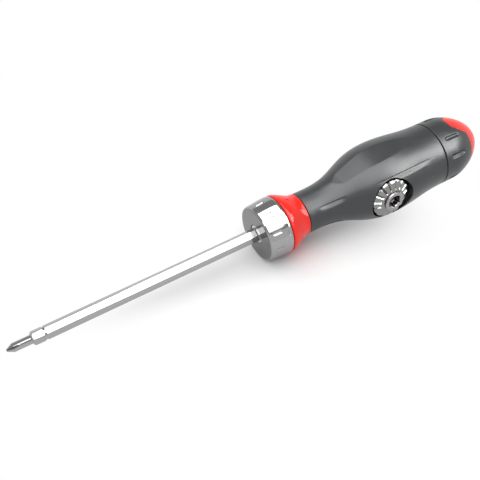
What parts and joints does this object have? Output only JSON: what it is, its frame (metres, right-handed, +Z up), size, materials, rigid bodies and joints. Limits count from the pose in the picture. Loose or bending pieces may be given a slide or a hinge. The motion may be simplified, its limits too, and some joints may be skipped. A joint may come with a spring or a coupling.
{
  "type": "ratcheting screwdriver",
  "caption": "Ratcheting screwdriver with a reversible hexagonal cross-point blade, a turning selector ring, a swelling handle with a hexagonal cross socket in its side, and a swivel end cap.",
  "frame": {"origin": "under the middle of the tool's length, on the surface that the handle's belly would touch with the tool's axis level", "axes": "+X along the tool from the blade's tip to the end cap, +Z up, -Y out of the cross socket in the handle's side"},
  "size_m": [0.2742, 0.0404, 0.0404],
  "materials": {
    "blade_steel": "satin chrome vanadium steel",
    "bright_steel": "ground",
    "dark_steel": "blackened, oiled",
    "bronze": "sintered bearing bronze",
    "selector_chrome": "bright chrome plate",
    "wheel_chrome": "satin chrome plate",
    "hub_steel": "turned, satin",
    "red_plastic": "glossy moulded",
    "red_insert": "glossy moulded",
    "core_plastic": "glass filled, moulded",
    "grip_plastic": "fine satin moulded",
    "cap_plastic": "fine satin moulded"
  },
  "bodies": {
    "handle": {"handle_core": "core_plastic", "grip": "grip_plastic", "index_ring": "red_plastic", "ratchet_housing": "dark_steel", "front_bush": "bronze", "rear_bush": "bronze", "blade_stop": "dark_steel", "pawl_pin": "bright_steel", "selector_snap_ring": "bright_steel", "detent_spring": "bright_steel", "housing_dowel_left": "bright_steel", "housing_dowel_right": "bright_steel", "side_bush": "bronze", "click_spring": "bright_steel", "cap_carrier": "core_plastic", "cap_washer": "core_plastic", "cap_screw": "dark_steel"},
    "ratchet": {"spindle": "bright_steel", "blade_retaining_ring": "bright_steel", "spindle_circlip": "dark_steel"},
    "blade": {"blade": "blade_steel"},
    "selector": {"selector_ring": "selector_chrome", "pawl_ball": "bright_steel", "pawl_leaf_spring": "bright_steel"},
    "pawl": {"rocking_pawl": "dark_steel"},
    "detent": {"detent_ball": "bright_steel"},
    "side_drive": {"side_wheel": "wheel_chrome", "side_hub": "hub_steel", "side_circlip": "dark_steel", "side_retaining_ring": "bright_steel"},
    "click": {"click_pin": "dark_steel"},
    "cap": {"end_cap": "cap_plastic", "cap_insert": "red_insert", "cap_spring_washer": "bright_steel"}
  },
  "joints": [
    {"name": "ratchet_spin", "type": "hinge", "parent": "handle", "child": "ratchet", "pos_m": [0.0037, 0, 0.0202], "axis": [1, 0, 0], "continuous": true},
    {"name": "blade_slide", "type": "slide", "parent": "ratchet", "child": "blade", "axis": [-1, 0, 0], "range_m": [0, 0.042]},
    {"name": "selector_turn", "type": "hinge", "parent": "handle", "child": "selector", "pos_m": [0.0037, 0, 0.0202], "axis": [1, 0, 0], "range_deg": [-24, 24]},
    {"name": "pawl_rock", "type": "hinge", "parent": "handle", "child": "pawl", "pos_m": [0.0036, 0, 0.0302], "axis": [1, 0, 0], "range_deg": [-6, 6]},
    {"name": "detent_press", "type": "slide", "parent": "handle", "child": "detent", "axis": [0, 0, -1], "range_m": [-0.0006, 0], "stiffness_N_per_m": 300},
    {"name": "side_spin", "type": "hinge", "parent": "handle", "child": "side_drive", "pos_m": [0.0696, -0.0162, 0.0202], "axis": [0, -1, 0], "continuous": true},
    {"name": "click_press", "type": "slide", "parent": "handle", "child": "click", "axis": [0, 1, 0], "range_m": [0, 0.0008], "stiffness_N_per_m": 300},
    {"name": "cap_spin", "type": "hinge", "parent": "handle", "child": "cap", "pos_m": [0.1172, 0, 0.0202], "axis": [1, 0, 0], "continuous": true}
  ],
  "couplings": [
    {"joint": "pawl_rock", "follows": "selector_turn", "ratio": 0.25}
  ]
}
